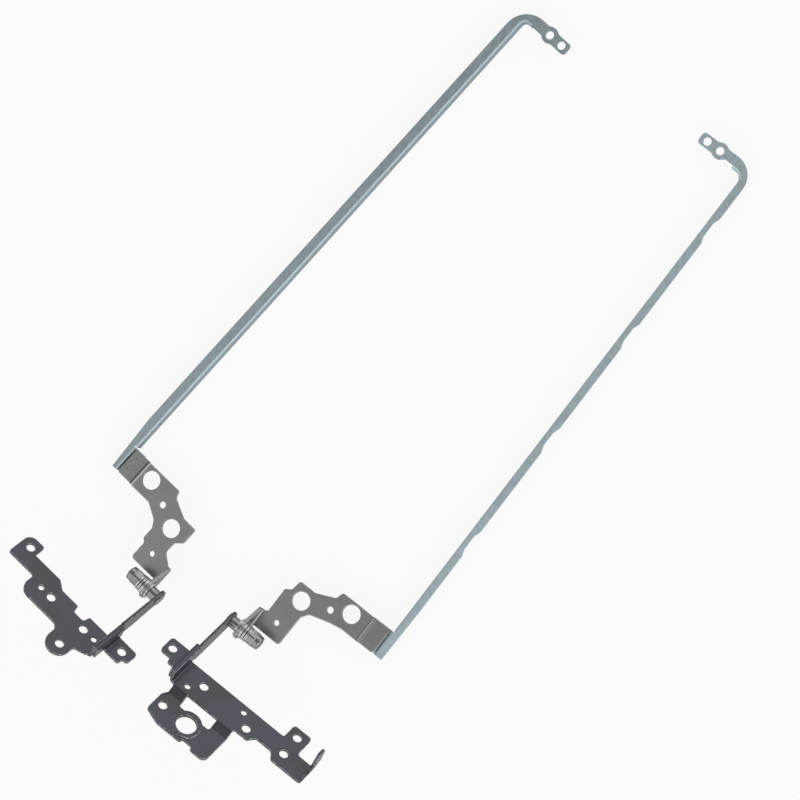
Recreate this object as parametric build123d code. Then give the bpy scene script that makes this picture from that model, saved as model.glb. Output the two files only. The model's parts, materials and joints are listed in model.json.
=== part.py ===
from build123d import *
from math import cos, radians
import os

# A pair of friction hinges for a laptop lid, laid on a table with the lid side flat and the bases raised.
# Each hinge is drawn in its own frame and then laid out: x runs inward along the pivot, towards the other
# hinge, y runs up the side rail and z stands out of the lid bracket's front face, all in millimetres.
# x is counted from the lower lid hole and y from the pivot. The right hinge is mirrored when it is laid out.

# Sheet thicknesses, inside radii of the folds, the play around a fixed pin, and the overlap where runs join
lid_sheet = 1.2
rail_sheet = 0.8
base_sheet = 1.0
fold_inside = 0.6
rail_fold_inside = 0.25
joggle_inside = 0.2
seat_gap = 0.05
lap = 1.0

# Roundings of stamped corners, from crisp to wide
crisp = 0.5
small = 0.8
medium = 1.2
wide = 2.0

# Lid brackets: pivot height over the front face, edges along the rail, and the ear that carries the pivot
pivot_height = 6.0
lid_top_edge = 29.0
lid_arm_edge = 19.4
lid_low_edge = 2.4
ear_inner_face = 9.6
ear_radius = 3.6
ear_root_top = 8.5
ear_shoulder = 1.5
lid_hole_radius = 3.1
lid_upper_hole = (-15.75, 25.2)
lid_lower_hole = (0.0, 18.3)
arm_locating_radius = 1.15
arm_locating_hole = {"left": (-7.4, 21.95), "right": (-9.4, 21.95)}
ear_locating_radius = 0.95
ear_locating_hole = {"left": (0.95, 7.9), "right": (2.1, 7.65)}

# Edges of each lid plate between the joggle and the ear, as corners (x, y, rounding)
lid_outer_edge = {
    "left": [(-11.5, lid_arm_edge, medium), (-6.2, 16.4, wide), (-4.8, 14.0, small), (-4.8, 10.0, crisp),
             (-3.5, 8.6, crisp), (-3.5, lid_low_edge, medium)],
    "right": [(-16.0, lid_arm_edge, wide), (-11.9, 18.6, small), (-4.6, 16.4, wide), (-3.0, 13.8, small),
              (-2.7, lid_low_edge, small)],
}
lid_inner_edge = {
    "left": [(3.9, 11.4, wide), (4.1, 15.6, small), (6.4, 17.6, medium), (6.4, 23.5, small),
             (1.0, 23.5, wide), (-5.6, 26.6, medium), (-6.4, lid_top_edge, small)],
    "right": [(6.7, 9.2, crisp), (6.7, 18.2, small), (4.7, 19.4, small), (4.1, 23.2, small),
              (-2.0, 23.2, wide), (-8.6, 26.2, medium), (-9.4, lid_top_edge, small)],
}

# Rail flange at the outer end of each lid bracket, one joggle behind the front face
joggle_x = {"left": -19.9, "right": -22.2}
joggle_run = 0.6
joggle_drop = 1.0
flange_width = 6.0
flange_gap = 0.15
foot_reach = 4.4
foot_step_run = 0.2
rivet_radius = 1.0
rivet_head_radius = 1.35
rivet_head_height = 0.12
rivet_dimple_radius = 0.4
rivet_dimple_depth = 0.3
rivet_inset = 2.1
rivet_rows = (22.4, 27.0)

# Side rails: tab distances are counted inward from the rail's outer edge
rail_offset = {"left": 0.3, "right": 1.15}
flat_width = {"left": 3.55, "right": 2.8}
edge_taper = {"left": 1.35, "right": 0.4}
taper_length = 20.0
rail_leg_height = 4.2
leg_start = 29.5
leg_past_corner = 1.5
tab_hole_y = {"left": 219.8, "right": 215.2}
tab_hole_radius = 1.35
tab_holes_in = (13.2, 18.3)
tab_length = 21.0
tab_width = 4.2
tab_lug_radius = 2.8
tab_lug_blend = 1.5
tab_neck_relief = {"left": 0.2, "right": 0.9}
corner_radius = {"left": 8.4, "right": 7.5}
corner_inside = {"left": 1.6, "right": 2.8}
notch_first = 67.0
notch_pitch = 42.0
notch_count = {"left": 0, "right": 4}
notch_length = 5.0
notch_run = 2.4
notch_depth = 0.8

# Friction stack on the pivot, from the arm to the nut
running_gap = 0.03
shank_radius = 2.1
shank_length = 3.0
bearing_radius = 1.6
inner_washer_radius = 3.2
outer_washer_radius = 3.0
wear_washer_thickness = 0.55
spring_radius = 2.8
spring_count = 4
spring_sheet = 0.34
spring_dish = 0.16
pressure_washer_radius = 2.45
pressure_washer_thickness = 0.5
key_half_width = 1.25
thread_radius = 1.2
nut_flats = 5.1
nut_corner_cut = 0.15
nut_bevel = 0.25
nut_hex_length = 2.5
nut_collar_length = 1.9
nut_collar_radius = 2.4
nut_collar_round = 0.7
thread_end_proud = 0.25
thread_end_bevel = 0.2
neck_radius = 1.75
neck_half_width = 1.45
rivet_end_radius = 2.35
rivet_end_height = 0.5
rivet_end_bevel = 0.25

# Base brackets: x is counted from the arm's outer face, and reach is the distance in front of the pivot
plate_drop = 2.45
arm_radius = 3.1
arm_height = 3.1
arm_belly = {"left": 1.2, "right": 0.2}
arm_nose_height = 1.6
arm_setback = 0.3
arm_nose_run = 0.35
hem_gap = 0.1
hem_margin = 0.7
tab_reach = 10.2
tab_back = {"left": 18.9, "right": 17.2}
tab_front = {"left": 23.9, "right": 23.7}
tab_root_front = {"left": 26.1, "right": 25.6}
tab_root_reach = {"left": 8.2, "right": 5.8}
tab_hole = {"left": (6.2, 22.1), "right": (7.5, 20.4)}
plate_back = {"left": 21.5, "right": 19.8}
plate_front = {"left": 31.8, "right": 30.4}
screw_radius = 1.5
pin_radius = 1.0
screw_holes = {"left": ((-39.8, 18.3), (-22.5, 26.1), (-7.6, 26.1), (-8.9, 35.9)),
               "right": ((-8.65, 24.1), (-27.95, 26.2), (-41.9, 17.0), (-42.3, 24.7), (-3.1, 37.8))}
pin_holes = {"left": ((-27.1, 26.1), (-2.8, 26.1)), "right": ((-4.8, 27.9), (-23.8, 22.2))}

# Left base plate: outer wing, stepped back edge with a notch, and front lobe around the fourth screw
left_side = -31.9
left_side_round = 4.0
left_step_reach = 19.2
left_step_x = -25.2
left_step_run = 3.3
wing_end = -43.5
wing_inner = -36.8
wing_back = 14.8
wing_front = 24.8
wing_round = 3.0
back_notch_x = -11.95
back_notch_width = 5.5
back_notch_depth = 2.6
back_notch_lean = 0.65
lobe_radius = 4.35
lobe_shift = 0.4
lobe_neck = 1.6

# Right base plate: back ear, waisted front edge, upturned end with a prong, and lowered front plate
right_ear_inner = -38.4
right_ear_outer = -45.6
right_ear_back = 13.9
right_end = -52.7
right_end_back = 21.8
right_end_front = 29.3
lobe_front = 29.3
waist_front = 26.7
waist_x = (-40.6, -30.5)
waist_run = 2.0
strip_x = (-25.4, -1.2)
window_x = (-19.2, -6.9)
step_run = 2.3
step_drop = 2.0
low_window_edge = 34.3
low_front = 44.1
low_notch_x = (-19.2, -15.4)
low_notch_depth = 1.3
low_flare = 2.2
low_slope = 2.0
low_corner_x = -5.6
boss_centre = (-13.0, 38.1)
boss_hole_radius = 3.45
boss_radius = 4.8
boss_height = 0.45
lip_height = 1.0
prong_height = 9.4
prong_width = 3.0
prong_overhang = 2.4
prong_neck = 1.9
prong_round = 1.0

# Layout on the table: angle of the bases over it, and where the right hinge's lower lid hole lies
base_raise = 42.0
right_offset = (48.05, 12.8)
right_yaw = 5.3

# Values that follow from the ones above
ear_outer_face = ear_inner_face - lid_sheet
ear_fold_x = ear_outer_face - fold_inside
flange_front = -joggle_drop
rivet_grip = lid_sheet + rail_sheet
rail_fold = rail_fold_inside + rail_sheet
shank_start = ear_inner_face + running_gap + wear_washer_thickness
arm_face = shank_start + shank_length
spring_pitch = spring_sheet + spring_dish
spring_start = ear_outer_face - running_gap - wear_washer_thickness
spring_end = spring_start - spring_count * spring_pitch
nut_start = spring_end - pressure_washer_thickness
nut_end = nut_start - nut_hex_length - nut_collar_length
plate_middle = -plate_drop - base_sheet / 2


def outline(*corners):
    """Closed outline from corners given as (x, y, rounding radius)."""
    points = [(x, y) for x, y, _ in corners]
    radii = [radius for _, _, radius in corners]
    return make_face(FilletPolyline(*points, radius=radii, close=True))


def plan(*corners):
    """Outline of a base plate from corners given as (x, reach, rounding radius)."""
    return outline(*[(x, -reach, radius) for x, reach, radius in corners])


def sheet(face, top, thickness):
    """Flat sheet with the given outline, hanging below its top face."""
    return extrude(Pos(0, 0, top - thickness) * face, thickness)


def folded(plane, path, bends, thickness, width):
    """Sheet that follows a bent path of its middle surface, pulled along the plane's normal."""
    line = FilletPolyline(*path, radius=bends)
    return extrude(plane * trace(line, thickness), width)


def side_prism(face, start, end):
    """Prism along x from an outline drawn in y and z."""
    return extrude(Plane.YZ.offset(start) * face, end - start)


def rod(start, end, radius):
    """Round bar along the pivot."""
    return side_prism(Circle(radius), start, end)


def keyed_bar(start, end, radius, half_width):
    """Round bar along the pivot with two flats."""
    return side_prism(Circle(radius) & Rectangle(2 * half_width, 4 * radius), start, end)


def drills(places, radius, depth):
    """Upright drills at the given places."""
    return [Pos(x, y, 0) * Cylinder(radius, depth) for x, y in places]


def base_drills(places, radius):
    """Upright drills through a base bracket, at (x, reach)."""
    return drills([(x, -reach) for x, reach in places], radius, 6 * plate_drop)


def flange_end(side):
    """Outer edge of the flange that the rail's foot lies under."""
    return joggle_x[side] - joggle_run - flange_width


def rivet_places(side):
    """Centres of the two rivets through flange and foot."""
    return [(flange_end(side) + rivet_inset, y) for y in rivet_rows]


def lid_outline(side):
    """Dog-leg plate between the joggle and the ear's fold, which differs between the two sides."""
    outer_x = joggle_x[side]
    return outline((outer_x, lid_arm_edge, 0), *lid_outer_edge[side], (ear_fold_x, lid_low_edge, 0),
                   (ear_fold_x, ear_root_top, 0), *lid_inner_edge[side], (outer_x, lid_top_edge, 0))


def ear():
    """Ear folded up from the inner edge of a lid bracket, with the bore that turns on the pivot."""
    middle_x = ear_inner_face - lid_sheet / 2
    crown = pivot_height + 2 * ear_radius
    path = [(ear_fold_x - lap, -lid_sheet / 2), (middle_x, -lid_sheet / 2), (middle_x, crown)]
    bent = folded(Plane.XZ.offset(-ear_root_top), path, fold_inside + lid_sheet / 2, lid_sheet,
                  ear_root_top + 2 * ear_radius)
    knuckle = Pos(0, pivot_height) * Circle(ear_radius)
    root = outline((lid_low_edge, -lid_sheet, 0), (ear_root_top, -lid_sheet, 0),
                   (ear_root_top, ear_shoulder, crisp), (lid_low_edge, ear_shoulder, 0))
    web = make_hull(knuckle.edges() + root.edges())
    bore = Pos(0, pivot_height) * Circle(bearing_radius + running_gap)
    return bent & side_prism(web - bore, ear_fold_x, ear_inner_face)


def lid_bracket(side):
    """Stamped lid bracket: dog-leg plate, ear for the pivot, and joggled flange that carries the rail."""
    middle = -lid_sheet / 2
    step_x = joggle_x[side] - joggle_run
    path = [(flange_end(side), middle - joggle_drop), (step_x, middle - joggle_drop),
            (joggle_x[side], middle), (joggle_x[side] + lap, middle)]
    bend = joggle_inside + lid_sheet / 2
    flange = folded(Plane.XZ.offset(-lid_top_edge), path, bend, lid_sheet, lid_top_edge - lid_arm_edge)
    flange = fillet(flange.edges().filter_by(Axis.Z).group_by(Axis.X)[0], medium)
    body = sheet(lid_outline(side), 0, lid_sheet) + ear() + flange
    body -= drills([lid_upper_hole, lid_lower_hole], lid_hole_radius, 4 * lid_sheet)
    body -= drills([arm_locating_hole[side]], arm_locating_radius, 4 * lid_sheet)
    body -= drills([ear_locating_hole[side]], ear_locating_radius, 4 * lid_sheet)
    return body - drills(rivet_places(side), rivet_radius + seat_gap, 8 * lid_sheet)


def rail_rivets(side):
    """Two rivets with low heads on both faces and a dimple from the forming tool in front."""
    length = rivet_grip + 2 * rivet_head_height
    middle = flange_front - rivet_grip / 2
    rivets = []
    for x, y in rivet_places(side):
        rivet = Cylinder(rivet_head_radius, length) - Cylinder(rivet_head_radius, rivet_grip)
        rivet += Cylinder(rivet_radius, length)
        rivet -= Pos(0, 0, length / 2) * Cylinder(rivet_dimple_radius, 2 * rivet_dimple_depth)
        rivets.append(Pos(x, y, middle) * rivet)
    return rivets


def rail_edges(side):
    """Inner and outer edge of a rail's front flat, and the lower edge of its tab."""
    inner_x = flange_end(side) - rail_offset[side]
    return inner_x, inner_x - flat_width[side], tab_hole_y[side] - tab_width / 2


def edge_notch():
    """Shallow notch with sloping ends in a rail's outer edge, to be cut around the origin."""
    half = notch_length / 2
    slope = half + notch_run
    return outline((-lap, -slope, 0), (0, -slope, 0), (notch_depth, -half, wide), (notch_depth, half, wide),
                   (0, slope, 0), (-lap, slope, 0))


def rail_flat(side):
    """Front flat of a rail above the flange: straight run, round corner, tab with a lug, and edge notches."""
    inner_x, outer_x, inner_y = rail_edges(side)
    fold_x = inner_x - rail_fold
    fold_y = inner_y + rail_fold
    corner = corner_inside[side]
    lug_x = outer_x + tab_holes_in[0]
    neck_y = inner_y + tab_neck_relief[side]
    low_x = outer_x + edge_taper[side] * (lid_arm_edge + taper_length - leg_start) / taper_length
    leg_end = inner_x + corner + leg_past_corner
    end_x = outer_x + tab_length
    outer_y = inner_y + tab_width
    flat = outline((fold_x, leg_start, 0), (fold_x, fold_y, corner + rail_fold), (leg_end, fold_y, 0),
                   (leg_end, neck_y, 0), (lug_x, neck_y, 0), (lug_x, inner_y, 0),
                   (end_x, inner_y, medium), (end_x, outer_y, medium),
                   (outer_x, outer_y, corner_radius[side]), (outer_x, lid_arm_edge + taper_length, 0),
                   (low_x, leg_start, 0))
    lug = Pos(lug_x, tab_hole_y[side]) * Circle(tab_lug_radius)
    flat += lug
    joins = [point for point in flat.vertices()
             if abs((point.center() - lug.center()).length - tab_lug_radius) < seat_gap]
    flat = fillet(joins, tab_lug_blend)
    for index in range(notch_count[side]):
        flat -= Pos(outer_x, notch_first + index * notch_pitch) * edge_notch()
    flat -= [Pos(outer_x + inset, tab_hole_y[side]) * Circle(tab_hole_radius) for inset in tab_holes_in]
    return sheet(flat, flange_front, rail_sheet)


def rail_leg(side):
    """Leg folded back along a rail's inner edge, around the corner and a little way along the tab."""
    inner_x, _, inner_y = rail_edges(side)
    corner = corner_inside[side]
    wall = rail_sheet / 2
    middle = flange_front - wall
    bend = rail_fold_inside + wall
    depth = flange_front - rail_leg_height
    along = [(inner_x - rail_fold - bend, middle), (inner_x - wall, middle), (inner_x - wall, depth)]
    across = [(inner_y + rail_fold + bend, middle), (inner_y + wall, middle), (inner_y + wall, depth)]
    turn_plane = Plane.XZ.offset(corner - inner_y)
    leg = folded(turn_plane, along, bend, rail_sheet, inner_y - corner - leg_start)
    section = turn_plane * trace(FilletPolyline(*along, radius=bend), rail_sheet)
    leg += revolve(section, axis=Axis((inner_x + corner, inner_y - corner, 0), (0, 0, -1)), revolution_arc=90)
    return leg + folded(Plane.YZ.offset(inner_x + corner), across, bend, rail_sheet, leg_past_corner)


def rail_foot(side):
    """Lower end of a rail: a narrow flat beside the flange that steps down to a foot under it."""
    _, outer_x, _ = rail_edges(side)
    middle = flange_front - rail_sheet / 2
    bend = joggle_inside + rail_sheet / 2
    step_x = flange_end(side) - flange_gap - bend
    link_x = step_x - foot_step_run - bend
    low_y = lid_arm_edge + flange_gap
    path = [(outer_x, middle), (step_x - foot_step_run, middle), (step_x, middle - lid_sheet),
            (flange_end(side) + foot_reach, middle - lid_sheet)]
    foot = folded(Plane.XZ.offset(-lid_top_edge), path, bend, rail_sheet, lid_top_edge - low_y)
    foot = fillet(foot.edges().filter_by(Axis.Z).group_by(Axis.X)[-1], medium)
    link = outline((outer_x, leg_start, 0), (link_x, leg_start, 0), (link_x, low_y, 0), (outer_x, low_y, 0))
    foot += sheet(link, flange_front, rail_sheet)
    run_end = lid_arm_edge + taper_length
    trim = outline((outer_x, run_end, 0), (outer_x + edge_taper[side], lid_arm_edge, 0),
                   (outer_x, lid_arm_edge, 0))
    foot -= sheet(trim, flange_front, 2 * rail_sheet)
    return foot - drills(rivet_places(side), rivet_radius + seat_gap, 8 * lid_sheet)


def side_rail(side):
    """Angle beside the panel: front flat, leg folded back, foot under the flange, and tab at the top."""
    return rail_flat(side) + rail_leg(side) + rail_foot(side)


def pivot_shaft():
    """Stepped shaft: riveted end, keyed neck, round shank, bearing in the ear, keyed part, and thread."""
    rivet_end = rod(arm_face + base_sheet, arm_face + base_sheet + rivet_end_height, rivet_end_radius)
    rivet_end = chamfer(rivet_end.edges().group_by(Axis.X)[-1], rivet_end_bevel)
    neck = keyed_bar(arm_face, arm_face + base_sheet, neck_radius, neck_half_width)
    shank = rod(shank_start, arm_face, shank_radius)
    bearing = rod(ear_outer_face - running_gap, shank_start, bearing_radius)
    keyed = keyed_bar(nut_start, ear_outer_face - running_gap, bearing_radius, key_half_width)
    thread = rod(nut_end - thread_end_proud, nut_start, thread_radius)
    thread = chamfer(thread.edges().group_by(Axis.X)[0], thread_end_bevel)
    return rivet_end + neck + shank + bearing + keyed + thread


def wear_washer(start, radius):
    """Round friction washer on the pivot."""
    end = start + wear_washer_thickness
    return rod(start, end, radius) - rod(start, end, bearing_radius + seat_gap)


def pressure_washer():
    """Washer keyed to the shaft so that the nut isn't turned by the lid."""
    bore = keyed_bar(nut_start, spring_end, bearing_radius + seat_gap, key_half_width + seat_gap)
    return rod(nut_start, spring_end, pressure_washer_radius) - bore


def disc_spring(index):
    """One dished spring of the stack, turned over from its neighbour."""
    start = spring_start - (index + 1) * spring_pitch
    bore_radius = bearing_radius + seat_gap
    inner_x = start + spring_dish * (index % 2)
    outer_x = start + spring_dish * (1 - index % 2)
    ring = outline((inner_x, bore_radius, 0), (inner_x + spring_sheet, bore_radius, 0),
                   (outer_x + spring_sheet, spring_radius, 0), (outer_x, spring_radius, 0))
    return revolve(ring, axis=Axis.X)


def lock_nut():
    """Hexagon nut with a round locking collar."""
    hex_end = nut_start - nut_hex_length
    hexagon = side_prism(RegularPolygon(nut_flats / 2, 6, major_radius=False), hex_end, nut_start)
    corner_reach = nut_flats / 2 / cos(radians(30))
    bevel = rod(hex_end, nut_start, corner_reach - nut_corner_cut)
    bevel = chamfer(bevel.edges().group_by(Axis.X)[0], nut_bevel)
    collar = rod(nut_end, hex_end, nut_collar_radius)
    collar = fillet(collar.edges().group_by(Axis.X)[0], nut_collar_round)
    return (hexagon & bevel) + collar - rod(nut_end, nut_start, thread_radius + seat_gap)


def base_arm(side):
    """Arm folded up from a base plate's inner edge, and hemmed over into a second layer with a tab."""
    foot_back = plate_back[side]
    foot_front = plate_front[side] - arm_setback
    hem_back = tab_back[side] - hem_margin
    hem_front = foot_front - arm_nose_run
    middle = base_sheet / 2
    bend = fold_inside + middle
    fold_top = -plate_drop + fold_inside
    crest = arm_height - middle
    belly = -arm_radius - arm_belly[side]
    wall = outline((arm_radius, -arm_radius, 0), (arm_radius, arm_height, 0),
                   (-hem_back + lap, arm_height, crisp), (-hem_back, crest, 0), (-hem_front, crest, 0),
                   (-foot_front, arm_nose_height, small), (-foot_front, fold_top, 0),
                   (-foot_back, fold_top, 0), (-foot_back + wide, belly, wide),
                   (-foot_back / 2, belly, 2 * arm_radius), (-arm_radius, -arm_radius, wide))
    corner = outline((0, -2 * arm_radius, 0), (2 * arm_radius, -2 * arm_radius, 0),
                     (2 * arm_radius, 2 * arm_radius, 0), (0, 2 * arm_radius, 0))
    hole = Circle(neck_radius + seat_gap) & Rectangle(2 * (neck_half_width + seat_gap), 4 * neck_radius)
    root_path = [(-fold_inside - lap, plate_middle), (middle, plate_middle), (middle, fold_top + lap)]
    root = folded(Plane.XZ.offset(foot_back), root_path, bend, base_sheet, foot_front - foot_back)
    second = middle + base_sheet + hem_gap
    hem_bend = (base_sheet + hem_gap) / 2 - running_gap
    hem_path = [(middle, crest - lap), (middle, crest), (second, crest), (second, plate_middle),
                (tab_reach, plate_middle)]
    hem_bends = [hem_bend, hem_bend, bend]
    hem = folded(Plane.XZ.offset(hem_back), hem_path, hem_bends, base_sheet, hem_front - hem_back)
    wall = wall - (corner - Circle(arm_radius)) - hole
    return side_prism(wall, 0, base_sheet) + root + (hem - tab_trim(side, second + middle))


def tab_trim(side, layer_face):
    """Cuts that leave the tab below the second layer, narrow it past its root and round its end."""
    back = tab_back[side]
    front = tab_front[side]
    root_front = tab_root_front[side]
    start = layer_face - base_sheet
    keep = plan((start, back, 0), (tab_reach, back, medium), (tab_reach, front, medium),
                (tab_root_reach[side], front, small), (tab_root_reach[side], root_front, small),
                (start, root_front, 0))
    far_x = 2 * tab_reach
    far_reach = 2 * root_front
    zone = plan((start, 0, 0), (far_x, 0, 0), (far_x, far_reach, 0), (start, far_reach, 0))
    return sheet(zone - keep, -plate_drop + fold_inside, base_sheet + 2 * lap)


def left_base_bracket():
    """Left base: plate with an outer wing, stepped and notched back edge, front lobe, and hemmed arm."""
    back = plate_back["left"]
    front = plate_front["left"]
    hole_x, hole_reach = screw_holes["left"][3]
    lobe_inner = hole_x - lobe_shift + lobe_radius
    lobe_outer = hole_x - lobe_shift - lobe_radius
    lobe_end = hole_reach + lobe_radius
    lobe_round = lobe_radius - seat_gap
    notch_floor = back + back_notch_depth
    notch_inner = back_notch_x + back_notch_width / 2
    notch_outer = back_notch_x - back_notch_width / 2
    edge = -fold_inside
    face = plan((edge, back, 0), (notch_inner, back, crisp),
                (notch_inner - back_notch_lean, notch_floor, small),
                (notch_outer + back_notch_lean, notch_floor, small), (notch_outer, back, crisp),
                (left_step_x + left_step_run, back, small), (left_step_x, left_step_reach, small),
                (wing_inner, left_step_reach, crisp), (wing_inner, wing_back, small),
                (wing_end, wing_back, wing_round), (wing_end, wing_front, small),
                (left_side, wing_front, medium), (left_side, front, left_side_round),
                (lobe_outer - lobe_neck, front, medium), (lobe_outer, front + lobe_neck, medium),
                (lobe_outer, lobe_end, lobe_round), (lobe_inner, lobe_end, lobe_round),
                (lobe_inner, front + lobe_neck, medium), (edge, front, crisp))
    body = sheet(face, -plate_drop, base_sheet) + base_arm("left")
    body -= base_drills(screw_holes["left"] + (tab_hole["left"],), screw_radius)
    return body - base_drills(pin_holes["left"], pin_radius)


def low_plate():
    """Front plate of the right base, a step below the main plate, with a raised rim around its wide hole."""
    back = plate_front["right"] + step_run
    start, end = strip_x
    notch_start, notch_end = low_notch_x
    notch_floor = low_front - low_notch_depth
    face = plan((start, back, 0), (window_x[0], back, 0), (window_x[0], low_window_edge, small),
                (window_x[1], low_window_edge, small), (window_x[1], back, 0), (end, back, crisp),
                (0, back + low_flare, medium), (0, low_front - low_slope, medium),
                (low_corner_x, low_front, medium), (notch_end, low_front, small),
                (notch_end, notch_floor, crisp), (notch_start, notch_floor, crisp),
                (notch_start, low_front, small), (start, low_front, wide))
    face += Pos(boss_centre[0], -boss_centre[1]) * Circle(boss_radius + crisp)
    top = -plate_drop - step_drop
    rim = Pos(boss_centre[0], -boss_centre[1]) * Circle(boss_radius)
    low = sheet(face, top, base_sheet) + sheet(rim, top + boss_height, base_sheet)
    front = plate_front["right"]
    path = [(-front + lap, plate_middle), (-front, plate_middle), (-back, plate_middle - step_drop),
            (-back - lap, plate_middle - step_drop)]
    bend = joggle_inside + base_sheet / 2
    for strip_start, strip_end in ((start, window_x[0]), (window_x[1], end)):
        low += folded(Plane.YZ.offset(strip_start), path, bend, base_sheet, strip_end - strip_start)
    return low - base_drills([boss_centre], boss_hole_radius)


def end_lip():
    """Outer end of the right base folded up into a low lip that rises to a prong."""
    middle_x = right_end + base_sheet / 2
    fold_x = right_end + base_sheet + fold_inside
    path = [(fold_x + lap, plate_middle), (middle_x, plate_middle), (middle_x, -plate_drop + prong_height)]
    back = right_end_back - prong_overhang
    bend = fold_inside + base_sheet / 2
    bent = folded(Plane.XZ.offset(back), path, bend, base_sheet, right_end_front - back)
    top = -plate_drop
    low = top - base_sheet
    prong_back = -right_end_back + prong_overhang
    prong_front = prong_back - prong_width
    tip = top + prong_height
    side = outline((-right_end_front, low, 0), (-right_end_front, top + lip_height, crisp),
                   (prong_front - prong_neck, top + lip_height, wide), (prong_front, tip, prong_round),
                   (prong_back, tip, prong_round), (prong_back, top + prong_neck + lip_height, wide),
                   (-right_end_back, top + lip_height, small), (-right_end_back, low, 0))
    return bent & side_prism(side, right_end, fold_x + lap)


def right_base_bracket():
    """Right base: plate with a back ear, waisted front edge, upturned end, low front plate, hemmed arm."""
    back = plate_back["right"]
    front = plate_front["right"]
    edge = -fold_inside
    fold_x = right_end + base_sheet + fold_inside
    strip_end = strip_x[0]
    face = plan((edge, back, 0), (right_ear_inner, back, small), (right_ear_inner, right_ear_back, medium),
                (right_ear_outer, right_ear_back, medium), (right_ear_outer, right_end_back, medium),
                (fold_x, right_end_back, 0), (fold_x, right_end_front, 0),
                (waist_x[0], right_end_front, small), (waist_x[0] + waist_run, waist_front, small),
                (waist_x[1] - waist_run, waist_front, small),
                (waist_x[1], lobe_front, small), (strip_end, lobe_front, crisp), (strip_end, front, 0),
                (edge, front, 0))
    body = sheet(face, -plate_drop, base_sheet) + base_arm("right") + low_plate() + end_lip()
    body -= base_drills(screw_holes["right"] + (tab_hole["right"],), screw_radius)
    return body - base_drills(pin_holes["right"], pin_radius)


def lid_side(side):
    """Pieces that lie on the table."""
    return {
        "lid_bracket": lid_bracket(side),
        "side_rail": side_rail(side),
        "rail_rivets": Compound(rail_rivets(side)),
    }


def base_side(side):
    """Pieces that turn with the base, drawn about the pivot with the hinge opened flat."""
    bracket = {"left": left_base_bracket, "right": right_base_bracket}[side]()
    pieces = {
        "base_bracket": Pos(arm_face, 0, 0) * bracket,
        "pivot_shaft": pivot_shaft(),
        "inner_wear_washer": wear_washer(ear_inner_face + running_gap, inner_washer_radius),
        "outer_wear_washer": wear_washer(spring_start, outer_washer_radius),
        "pressure_washer": pressure_washer(),
        "lock_nut": lock_nut(),
    }
    for index in range(spring_count):
        pieces[f"disc_spring_{index + 1}"] = disc_spring(index)
    raised = Pos(0, 0, pivot_height) * Rot(-base_raise, 0, 0)
    return {name: raised * shape for name, shape in pieces.items()}


def lay_out():
    """All pieces of both hinges, standing on z = 0 with the middle of the pair over the origin."""
    hole_x, hole_y = lid_lower_hole
    right_place = (Pos(hole_x + right_offset[0], hole_y + right_offset[1], 0) * Rot(0, 0, right_yaw)
                   * Pos(hole_x, -hole_y, 0))
    pieces = {}
    for name, shape in (lid_side("left") | base_side("left")).items():
        pieces[f"left_{name}"] = shape
    for name, shape in (lid_side("right") | base_side("right")).items():
        pieces[f"right_{name}"] = right_place * mirror(shape, about=Plane.YZ)
    box = Compound(list(pieces.values())).bounding_box()
    centre = box.center()
    home = Pos(-centre.X, -centre.Y, -box.min.Z)
    return {name: home * shape for name, shape in pieces.items()}, home


if __name__ == "__main__":
    os.makedirs("parts", exist_ok=True)
    for name, shape in lay_out()[0].items():
        export_step(shape, f"parts/{name}.step")
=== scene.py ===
import json
import math

import bpy
from bpy.props import FloatProperty, FloatVectorProperty, PointerProperty
from mathutils import Matrix, Vector

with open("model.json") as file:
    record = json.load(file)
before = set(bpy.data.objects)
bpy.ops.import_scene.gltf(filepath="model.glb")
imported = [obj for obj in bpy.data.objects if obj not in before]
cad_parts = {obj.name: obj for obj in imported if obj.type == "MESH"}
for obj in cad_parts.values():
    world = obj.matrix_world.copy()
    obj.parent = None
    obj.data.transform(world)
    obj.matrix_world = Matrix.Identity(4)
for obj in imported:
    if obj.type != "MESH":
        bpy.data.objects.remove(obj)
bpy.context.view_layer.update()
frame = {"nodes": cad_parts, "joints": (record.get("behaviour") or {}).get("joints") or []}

bl_info = {
    "name": "Lid hinge pair finishes",
    "version": (1, 0, 0),
    "blender": (4, 5, 0),
    "location": "3D View > Sidebar > Hinges",
    "description": "Finishes for a pair of laptop lid hinges, and the table they lie on",
    "category": "Material",
}

SIDES = ("left", "right")
MM = 0.001

# Angle between the base plates and the table
BASE_RAISE = math.radians(42)

# A lid bracket's joggle: its place out from the pivot and the end of the painted shade at its foot, both in
# millimetres, and the strength of the painted highlight along its top edge and of the painted shade at its
# foot
JOGGLE_OUT = {"left": 28.9, "right": 31.2}
PAINTED_SHADE_END = {"left": -0.3, "right": 0.4}
JOGGLE_PAINTED_HIGHLIGHT = {"left": 1.0, "right": 0.0}
JOGGLE_PAINTED_SHADE = {"left": 0.8, "right": 0.7}

# The camera's target from the left pivot, and its place around that target
CAMERA_TARGET = Vector((17.44, 100.29, -11.2)) * MM
CAMERA_TURN = math.radians(29.215)
CAMERA_HEIGHT = math.radians(77.997)
CAMERA_ROLL = math.radians(-76.256)
CAMERA_DISTANCE = 1081.85 * MM

# Place, size in metres and power in watts of each lamp
LAMPS = {"key_lamp": ((1.1, -0.35, 0.75), 0.9, 3.2), "fill_lamp": ((-0.25, -0.75, 1.2), 0.8, 1.5)}

# Half the table's side, its drop below the hinges, and its share of plain white seen straight and mirrored
TABLE_HALF = 3.0
TABLE_DROP = 0.02 * MM
STRAIGHT_WHITE = 0.9
MIRRORED_WHITE = 0.1


def tint(red, green, blue):
    """Linear colour from the usual 0 to 255 levels."""
    return tuple((level / 255) ** 2.2 for level in (red, green, blue))


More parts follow.
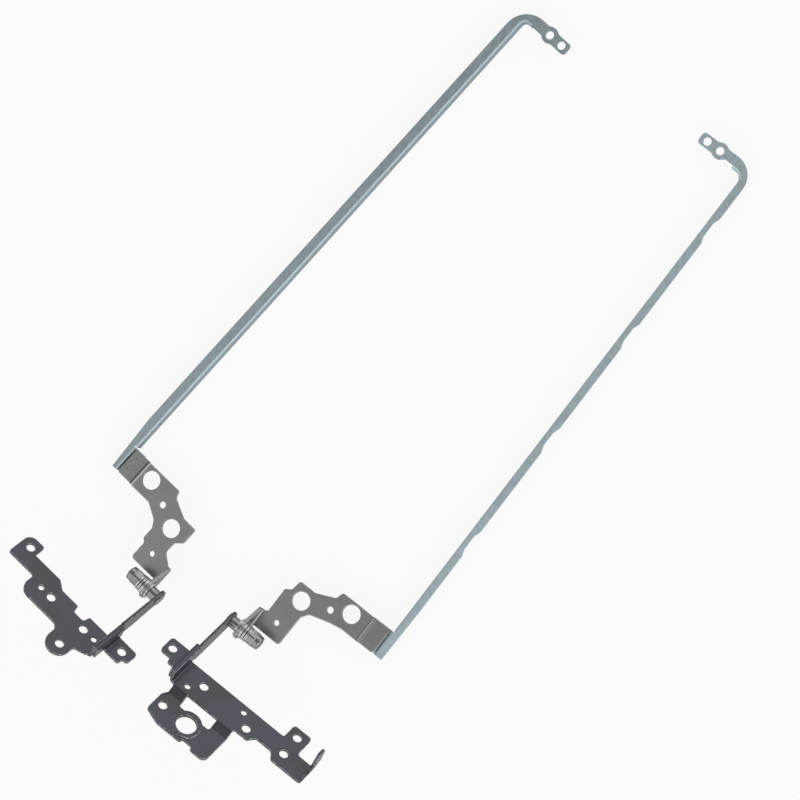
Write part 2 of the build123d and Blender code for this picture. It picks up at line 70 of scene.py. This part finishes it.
class Socket:
    """A shader output for Python arithmetic: each step adds its Math node."""

    def __init__(self, shading, output):
        self.shading = shading
        self.output = output

    def maths(self, operation, first, second):
        """Math node on two values or sockets."""
        return self.shading.node("ShaderNodeMath", {"operation": operation}, {0: first, 1: second})

    def __add__(self, other):
        return self.maths("ADD", self, other)

    def __sub__(self, other):
        return self.maths("SUBTRACT", self, other)

    def __rsub__(self, other):
        return self.maths("SUBTRACT", other, self)

    def __mul__(self, other):
        return self.maths("MULTIPLY", self, other)

    def __abs__(self):
        return self.maths("ABSOLUTE", self, 0.0)

    __radd__ = __add__
    __rmul__ = __mul__


class Shading:
    """The nodes of a material or of the world."""

    def __init__(self, owner):
        owner.use_nodes = True
        self.owner = owner
        self.tree = owner.node_tree

    def node(self, kind, settings=None, sockets=None, output=0):
        """Adds a node: its settings come first, then the values or links of its sockets."""
        added = self.tree.nodes.new(kind)
        for name, value in (settings or {}).items():
            setattr(added, name, value)
        for name, value in (sockets or {}).items():
            self.feed(added.inputs[name], value)
        return Socket(self, added.outputs[output])

    def feed(self, target, value):
        """Links a socket to an input, or sets the input to a plain value."""
        if isinstance(value, Socket):
            self.tree.links.new(value.output, target)
        else:
            target.default_value = value

    def vectors(self, operation, first, second, output="Vector"):
        """Vector arithmetic."""
        return self.node("ShaderNodeVectorMath", {"operation": operation}, {0: first, 1: second}, output)

    def blend(self, share, first, second):
        """Colour between two colours."""
        first, second = [value if isinstance(value, Socket) else (*value, 1) for value in (first, second)]
        return self.node("ShaderNodeMix", {"data_type": "RGBA"}, {0: share, 6: first, 7: second}, 2)

    def fade(self, value, low, high):
        """Smooth step from 0 at low to 1 at high."""
        return self.node("ShaderNodeMapRange", {"interpolation_type": "SMOOTHSTEP"},
                         {"Value": value, "From Min": low, "From Max": high})

    def band(self, value, rise, fall):
        """1 between two smooth steps, each given by its start and its end."""
        return self.fade(value, *rise) * (1 - self.fade(value, *fall))


class Finish(Shading):
    """A metal finish on one Principled shader, with patterns sized in millimetres."""

    def __init__(self, name):
        super().__init__(bpy.data.materials.new(name))
        self.shader = self.tree.nodes["Principled BSDF"]
        point = self.node("ShaderNodeTexCoord", output="Object")
        self.place = self.vectors("MULTIPLY", point, (1 / MM, 1 / MM, 1 / MM))
        self.flat = self.node("ShaderNodeNewGeometry", output="Normal")
        self.facing = self.node("ShaderNodeTexCoord", output="Normal")

    def cloud(self, cycles, detail=2.0, place=None):
        """Cloudy value around a half, with its cycles counted per millimetre along x, y and z."""
        stretched = self.vectors("MULTIPLY", place or self.place, cycles)
        return self.node("ShaderNodeTexNoise", None, {"Vector": stretched, "Scale": 1.0, "Detail": detail})

    def rounding(self, radius):
        """Normal rounded over the corners of the metal."""
        return self.node("ShaderNodeBevel", {"samples": 6}, {"Radius": radius})

    def edge(self, rounded):
        """How far the rounded normal leans away from the face, from 0 on a flat."""
        return 1 - self.vectors("DOT_PRODUCT", rounded, self.flat, "Value")

    def faces(self, direction, least, most):
        """Smooth step from 0 to 1 as the piece's own surface turns towards a direction or away from it."""
        along = self.vectors("DOT_PRODUCT", self.facing, direction, "Value")
        return self.fade(abs(along), least, most)

    def relief(self, height, depth, normal):
        """Normal with a shallow relief on it."""
        return self.node("ShaderNodeBump", None,
                         {"Strength": 1.0, "Distance": depth, "Height": height, "Normal": normal})

    def surface(self, **sockets):
        """Feeds the Principled shader and hands over the material."""
        for name, value in sockets.items():
            self.feed(self.shader.inputs[name.replace("_", " ")], value)
        return self.owner


def dress(material, *nodes):
    """Puts a material on the slots of CAD nodes."""
    for name in nodes:
        for slot in frame["nodes"][name].material_slots:
            slot.material = material


def hinge(side):
    """The frame's joint of one side."""
    return next(joint for joint in frame["joints"] if joint["name"] == f"{side}_hinge")


def from_pivot(finish, side):
    """Offset from a hinge's joint in millimetres, and the part of it along the pivot."""
    joint = hinge(side)
    offset = finish.vectors("SUBTRACT", finish.place, [value / MM for value in joint["pos_m"]])
    return offset, finish.vectors("DOT_PRODUCT", offset, joint["axis"], "Value")


def pivot_place(finish, side):
    """Place around a hinge's pivot in millimetres: along the pivot, and out from it."""
    offset, along = from_pivot(finish, side)
    across = finish.vectors("CROSS_PRODUCT", offset, hinge(side)["axis"])
    out = finish.node("ShaderNodeVectorMath", {"operation": "LENGTH"}, {0: across}, "Value")
    return finish.node("ShaderNodeCombineXYZ", None, {"X": along, "Y": out})


class BaseFinish(bpy.types.PropertyGroup):
    """Black plating of the base brackets."""

    plating: FloatVectorProperty(name="Plating", description="Colour of the black plating", subtype="COLOR",
                                 default=tint(73, 77, 85), min=0, max=1)
    stained: FloatVectorProperty(name="Stained plating", description="Colour of its duller patches",
                                 subtype="COLOR", default=tint(68, 71, 75), min=0, max=1)
    bare: FloatVectorProperty(name="Bare steel", description="Colour where an edge is worn bright",
                              subtype="COLOR", default=tint(214, 216, 218), min=0, max=1)
    corner: FloatProperty(name="Corner", description="Rounding of the stamped corners", unit="LENGTH",
                          default=0.42 * MM, min=0)


class LidFinish(bpy.types.PropertyGroup):
    """Satin nickel of the lid brackets."""

    plating: FloatVectorProperty(name="Plating", description="Colour of the satin plating", subtype="COLOR",
                                 default=tint(160, 162, 160), min=0, max=1)
    # The bright edge colour also paints the highlight along a joggle's top edge
    bright: FloatVectorProperty(name="Bright edge", description="Colour along a rubbed edge", subtype="COLOR",
                                default=tint(236, 236, 234), min=0, max=1)
    corner: FloatProperty(name="Corner", description="Rounding of the stamped corners", unit="LENGTH",
                          default=0.5 * MM, min=0)


class RailFinish(bpy.types.PropertyGroup):
    """Zinc of the side rails."""

    zinc: FloatVectorProperty(name="Zinc", description="Colour of the zinc", subtype="COLOR",
                              default=tint(175, 190, 195), min=0, max=1)
    pale: FloatVectorProperty(name="Pale zinc", description="Colour of the paler crystals", subtype="COLOR",
                              default=tint(214, 228, 233), min=0, max=1)
    # The paler right rail is painted light: the same zinc made lighter for the brighter light on that rail
    paler: FloatProperty(name="Paler right rail", description="How much paler the right rail's zinc is",
                         default=1.28, min=1, max=1.5)
    corner: FloatProperty(name="Corner", description="Rounding of the stamped corners", unit="LENGTH",
                          default=0.2 * MM, min=0)


class PivotFinish(bpy.types.PropertyGroup):
    """Turned and ground steel of the pivot's pieces."""

    steel: FloatVectorProperty(name="Steel", description="Colour of the plated steel", subtype="COLOR",
                               default=tint(148, 150, 149), min=0, max=1)
    bright: FloatVectorProperty(name="Bright corner", description="Colour along a rubbed corner",
                                subtype="COLOR", default=tint(225, 227, 226), min=0, max=1)
    grease: FloatVectorProperty(name="Grease", description="Colour of the grease film", subtype="COLOR",
                                default=tint(72, 74, 66), min=0, max=1)
    corner: FloatProperty(name="Corner", description="Rounding of the corners", unit="LENGTH",
                          default=0.12 * MM, min=0)


class StageLight(bpy.types.PropertyGroup):
    """Table, lamps and camera."""

    floor: FloatVectorProperty(name="Floor", description="Colour of the table", subtype="COLOR",
                               default=(0.75, 0.75, 0.75), min=0, max=1)
    sky: FloatProperty(name="Sky", description="Strength of the light from all around", default=1.25, min=0)
    shaded: FloatProperty(name="Shaded side", default=0.55, min=0, max=1,
                          description="Share of the sky's light that is missing on the left")
    overhead: FloatProperty(name="Overhead", description="Share of the sky's light that is missing overhead",
                            default=0.76, min=0, max=1)
    lens: FloatProperty(name="Lens", description="Focal length on a 36 mm wide picture",
                        subtype="DISTANCE_CAMERA", default=150, min=1)


def blackened_steel(settings):
    """Lacquered black plating over stamped steel: faintly rolled, and rubbed bright along its corners."""
    finish = Finish("blackened_steel")
    rounded = finish.rounding(settings.corner)
    stain = finish.cloud((0.09, 0.09, 0.09), detail=3)
    rolled = finish.cloud((0.4, 4.0, 4.0), detail=3)
    peel = finish.cloud((5.0, 5.0, 5.0), 2)
    patch = finish.cloud((1.5, 1.5, 1.5), detail=3)
    sheared = finish.faces((0, -math.cos(BASE_RAISE), math.sin(BASE_RAISE)), 0.8, 0.95)
    corner = finish.fade(finish.edge(rounded), 0.02, 0.14)
    rubbed = finish.fade(patch + corner * 0.1, 0.5, 0.64) * finish.fade(corner + sheared * 0.4, 0, 1)
    plating = finish.blend(finish.fade(stain, 0.35, 0.65), settings.stained, settings.plating)
    return finish.surface(
        Base_Color=finish.blend(rubbed * 0.9, plating, settings.bare),
        Metallic=0.7 + rubbed * 0.3,
        Roughness=0.36 + (stain - 0.5) * 0.16 + (rolled - 0.5) * 0.12,
        Coat_Weight=0.4,
        Coat_Roughness=0.2,
        Normal=finish.relief(rolled * 0.6 + peel * 0.4, 0.006 * MM, rounded),
    )


def joggle_painted_light(finish, side):
    """Masks of a lid bracket's joggle: painted shade at the foot of its slope behind the flange, and a
    painted highlight along its rounded top edge.
    """
    _, along = from_pivot(finish, side)
    from_crest = JOGGLE_OUT[side] + (along if side == "left" else 0 - along)
    painted_shade = finish.band(from_crest, (-1.1, -0.85), (PAINTED_SHADE_END[side] - 0.2, PAINTED_SHADE_END[side]))
    painted_highlight = finish.band(from_crest, (-0.3, -0.1), (0.3, 0.55))
    return painted_shade * JOGGLE_PAINTED_SHADE[side], painted_highlight * JOGGLE_PAINTED_HIGHLIGHT[side]


def satin_nickel(name, side, settings, corner):
    """Satin plating over rolled sheet, with a fine grain, pale rubbed corners, and painted shade and a
    painted highlight along the joggle's bend.
    """
    finish = Finish(f"{side}_{name}")
    rounded = finish.rounding(corner)
    stain = finish.cloud((0.12, 0.12, 0.12), detail=3)
    rolled = finish.cloud((0.25, 5.0, 5.0), detail=3)
    fleck = finish.cloud((2.2, 2.2, 2.2), detail=4)
    rubbed = finish.fade(finish.edge(rounded) + (fleck - 0.5) * 0.2, 0.06, 0.28)
    mark = finish.fade(fleck, 0.66, 0.74)
    plating = finish.blend(stain * 0.7 + rolled * 0.3, [0.86 * level for level in settings.plating],
                           [1.14 * level for level in settings.plating])
    painted_shade, painted_highlight = joggle_painted_light(finish, side)
    # Pale rubbed corners, and a painted highlight along the joggle's top edge
    worn = finish.blend(rubbed * 0.4 + painted_highlight, plating, settings.bright)
    # Darkened plating for dark flecks, and painted shade at the joggle's foot
    dark_fleck_and_painted_shade = [0.3 * level for level in settings.plating]
    return finish.surface(
        Base_Color=finish.blend(mark * 0.25 + painted_shade, worn, dark_fleck_and_painted_shade),
        Metallic=1.0,
        Roughness=0.32 + (stain - 0.5) * 0.1 + (rolled - 0.5) * 0.14,
        Normal=finish.relief(rolled, 0.005 * MM, rounded),
    )


def zinc_coat(side, settings, lightness):
    """Zinc coated strip: faint crystals, drawn lines along the rail and pale corners."""
    finish = Finish(f"{side}_zinc_coat")
    rounded = finish.rounding(settings.corner)
    crystal = finish.node("ShaderNodeTexVoronoi", None, {"Vector": finish.place, "Scale": 0.9}, "Color")
    shade = finish.node("ShaderNodeSeparateColor", None, {"Color": crystal})
    stain = finish.cloud((0.06, 0.03, 0.06), detail=3)
    drawn = finish.cloud((6.0, 0.12, 6.0), detail=3)
    rubbed = finish.fade(finish.edge(rounded) + (stain - 0.5) * 0.15, 0.05, 0.28)
    # A lightness above 1 makes a lit copy of the zinc, which paints light on the right rail
    zinc = finish.blend(shade * 0.2 + stain * 0.5 + drawn * 0.3,
                        [0.84 * lightness * level for level in settings.zinc],
                        [1.16 * lightness * level for level in settings.zinc])
    return finish.surface(
        Base_Color=finish.blend(rubbed * 0.8, zinc, settings.pale),
        Metallic=1.0,
        Roughness=0.46 + shade * 0.1 + (drawn - 0.5) * 0.14,
        Normal=finish.relief(drawn, 0.005 * MM, rounded),
    )


def turned_steel(name, settings, side, sheen, film, lightness):
    """Plated steel turned around the pivot, with fine rings and a film of grease."""
    finish = Finish(f"{side}_{name}")
    rounded = finish.rounding(settings.corner)
    rings = finish.cloud((9.0, 9.0, 9.0), 2, pivot_place(finish, side))
    stain = finish.cloud((0.5, 0.5, 0.5), detail=3)
    smear = finish.fade(stain, 0.62 - 0.3 * film, 0.78 - 0.2 * film)
    bright = finish.fade(finish.edge(rounded), 0.05, 0.3)
    steel = finish.blend(rings * 0.6 + stain * 0.4, [0.8 * lightness * level for level in settings.steel],
                         [1.2 * lightness * level for level in settings.steel])
    polished = finish.blend(bright * 0.6, steel, settings.bright)
    return finish.surface(
        Base_Color=finish.blend(smear * film, polished, settings.grease),
        Metallic=1.0 - smear * 0.4 * film,
        Roughness=sheen + (rings - 0.5) * 0.16 + smear * 0.08,
        Normal=finish.relief(rings, 0.008 * MM, rounded),
    )


class HINGES_OT_base_brackets(bpy.types.Operator):
    """Dress the base brackets in black plating"""

    bl_idname = "hinges.base_brackets"
    bl_label = "Base brackets"

    def execute(self, context):
        dress(blackened_steel(context.scene.base_finish), *[f"{side}_base_bracket" for side in SIDES])
        return {"FINISHED"}


class HINGES_OT_lid_brackets(bpy.types.Operator):
    """Dress the lid brackets in satin nickel"""

    bl_idname = "hinges.lid_brackets"
    bl_label = "Lid brackets"

    def execute(self, context):
        settings = context.scene.lid_finish
        for side in SIDES:
            dress(satin_nickel("satin_nickel", side, settings, settings.corner), f"{side}_lid_bracket")
        return {"FINISHED"}


class HINGES_OT_side_rails(bpy.types.Operator):
    """Dress the side rails in zinc"""

    bl_idname = "hinges.side_rails"
    bl_label = "Side rails"

    def execute(self, context):
        settings = context.scene.rail_finish
        dress(zinc_coat("left", settings, 1), "left_side_rail")
        # Painted light: the right rail gets the same zinc, made paler
        dress(zinc_coat("right", settings, settings.paler), "right_side_rail")
        return {"FINISHED"}


class HINGES_OT_rail_rivets(bpy.types.Operator):
    """Dress the rivets that hold the rails in satin nickel"""

    bl_idname = "hinges.rail_rivets"
    bl_label = "Rail rivets"

    def execute(self, context):
        settings = context.scene.lid_finish
        for side in SIDES:
            dress(satin_nickel("rivet_nickel", side, settings, 0.2 * settings.corner), f"{side}_rail_rivets")
        return {"FINISHED"}


class HINGES_OT_pivot_shafts(bpy.types.Operator):
    """Dress the pivot shafts and lock nuts in bright turned steel"""

    bl_idname = "hinges.pivot_shafts"
    bl_label = "Pivot shafts and nuts"

    def execute(self, context):
        for side in SIDES:
            steel = turned_steel("turned_steel", context.scene.pivot_finish, side, sheen=0.18, film=0.4,
                                 lightness=1.0)
            dress(steel, f"{side}_pivot_shaft", f"{side}_lock_nut")
        return {"FINISHED"}


class HINGES_OT_washers(bpy.types.Operator):
    """Dress the washers and disc springs in greased ground steel"""

    bl_idname = "hinges.washers"
    bl_label = "Washers and springs"

    def execute(self, context):
        for side in SIDES:
            steel = turned_steel("greased_steel", context.scene.pivot_finish, side, sheen=0.22, film=0.2,
                                 lightness=1.9)
            greased = [name for name in frame["nodes"]
                       if name.startswith(side) and ("washer" in name or "spring" in name)]
            dress(steel, *greased)
        return {"FINISHED"}


def place_camera(settings):
    """Camera at the photograph's angle: turned around the upright, raised, rolled and set back."""
    target = Vector(hinge("left")["pos_m"]) + CAMERA_TARGET
    back = Vector((math.cos(CAMERA_HEIGHT) * math.cos(CAMERA_TURN),
                   math.cos(CAMERA_HEIGHT) * math.sin(CAMERA_TURN), math.sin(CAMERA_HEIGHT)))
    level = Vector((0, 0, 1)).cross(back).normalized()
    right = Matrix.Rotation(CAMERA_ROLL, 3, back) @ level
    camera = bpy.data.cameras.new("camera")
    camera.lens = settings.lens
    holder = bpy.data.objects.new("camera", camera)
    holder.matrix_world = Matrix.Translation(target + CAMERA_DISTANCE * back) @ Matrix(
        (right, back.cross(right), back)).transposed().to_4x4()
    bpy.context.scene.collection.objects.link(holder)
    bpy.context.scene.camera = holder


def area_lamp(name, place, size, power):
    """Square soft lamp aimed at the middle of the table."""
    lamp = bpy.data.lights.new(name, "AREA")
    lamp.size = size
    lamp.energy = power
    holder = bpy.data.objects.new(name, lamp)
    holder.location = place
    holder.rotation_euler = Vector(place).to_track_quat("Z", "Y").to_euler()
    bpy.context.scene.collection.objects.link(holder)


def seen_ray(shading):
    """1 for rays that show the surroundings straight, and 1 for those that show them in a reflection."""
    path = [shading.node("ShaderNodeLightPath", output=name)
            for name in ("Is Camera Ray", "Is Glossy Ray", "Is Transmission Ray")]
    return path[0], path[1] + path[2]


def table_top(settings):
    """Wide pale table under the hinges that shows as white and keeps a soft shadow."""
    mesh = bpy.data.meshes.new("table_top")
    corners = [(-1, -1), (1, -1), (1, 1), (-1, 1)]
    mesh.from_pydata([(TABLE_HALF * x, TABLE_HALF * y, -TABLE_DROP) for x, y in corners], [], [range(4)])
    table = bpy.data.objects.new("table_top", mesh)
    bpy.context.scene.collection.objects.link(table)
    finish = Finish("table_top")
    lit = finish.node("ShaderNodeBsdfDiffuse", None, {"Color": (*settings.floor, 1)})
    white = finish.node("ShaderNodeEmission", None, {"Color": (1, 1, 1, 1)})
    straight, mirrored = seen_ray(finish)
    share = straight * STRAIGHT_WHITE + mirrored * MIRRORED_WHITE
    shown = finish.node("ShaderNodeMixShader", None, {0: share, 1: lit, 2: white})
    finish.feed(finish.tree.nodes["Material Output"].inputs["Surface"], shown)
    mesh.materials.append(finish.owner)


def sky(settings):
    """Light from all around that is dimmer overhead and on the left, seen as white."""
    world = bpy.data.worlds.new("sky")
    bpy.context.scene.world = world
    shading = Shading(world)
    towards = shading.node("ShaderNodeTexCoord", output="Generated")
    height = shading.node("ShaderNodeSeparateXYZ", None, {0: towards}, "Z")
    side = shading.node("ShaderNodeSeparateXYZ", None, {0: towards}, "X")
    overhead = shading.fade(height, 0.35, 0.95)
    shaded = shading.fade(0 - side, 0.25, 0.9)
    light = settings.sky * (1 - overhead * settings.overhead) * (1 - shaded * settings.shaded)
    shown = shading.node("ShaderNodeLightPath", output="Is Camera Ray")
    strength = shown + (1 - shown) * light
    background = shading.tree.nodes["Background"]
    shading.feed(background.inputs["Color"], (1, 1, 1, 1))
    shading.feed(background.inputs["Strength"], strength)


class HINGES_OT_stage(bpy.types.Operator):
    """Lay out the table, the lamps and the camera"""

    bl_idname = "hinges.stage"
    bl_label = "Stage"

    def execute(self, context):
        settings = context.scene.stage_light
        context.scene.view_settings.view_transform = "Standard"
        sky(settings)
        table_top(settings)
        for name, (place, size, power) in LAMPS.items():
            area_lamp(name, place, size, power)
        place_camera(settings)
        return {"FINISHED"}


OPERATORS = (HINGES_OT_base_brackets, HINGES_OT_lid_brackets, HINGES_OT_side_rails, HINGES_OT_rail_rivets,
             HINGES_OT_pivot_shafts, HINGES_OT_washers, HINGES_OT_stage)


class HINGES_PT_finishes(bpy.types.Panel):
    """Finishes of the hinge pair"""

    bl_idname = "HINGES_PT_finishes"
    bl_label = "Lid hinge pair"
    bl_space_type = "VIEW_3D"
    bl_region_type = "UI"
    bl_category = "Hinges"

    def draw(self, context):
        for operator in OPERATORS:
            self.layout.operator(operator.bl_idname)


SETTINGS = {"base_finish": BaseFinish, "lid_finish": LidFinish, "rail_finish": RailFinish,
            "pivot_finish": PivotFinish, "stage_light": StageLight}
CLASSES = (*SETTINGS.values(), *OPERATORS, HINGES_PT_finishes)


def register():
    for each in CLASSES:
        bpy.utils.register_class(each)
    for name, group in SETTINGS.items():
        setattr(bpy.types.Scene, name, PointerProperty(type=group))


def unregister():
    for name in SETTINGS:
        delattr(bpy.types.Scene, name)
    for each in reversed(CLASSES):
        bpy.utils.unregister_class(each)


def main():
    register()
    bpy.ops.hinges.base_brackets()
    bpy.ops.hinges.lid_brackets()
    bpy.ops.hinges.side_rails()
    bpy.ops.hinges.rail_rivets()
    bpy.ops.hinges.pivot_shafts()
    bpy.ops.hinges.washers()
    bpy.ops.hinges.stage()


if __name__ == "__main__":
    main()
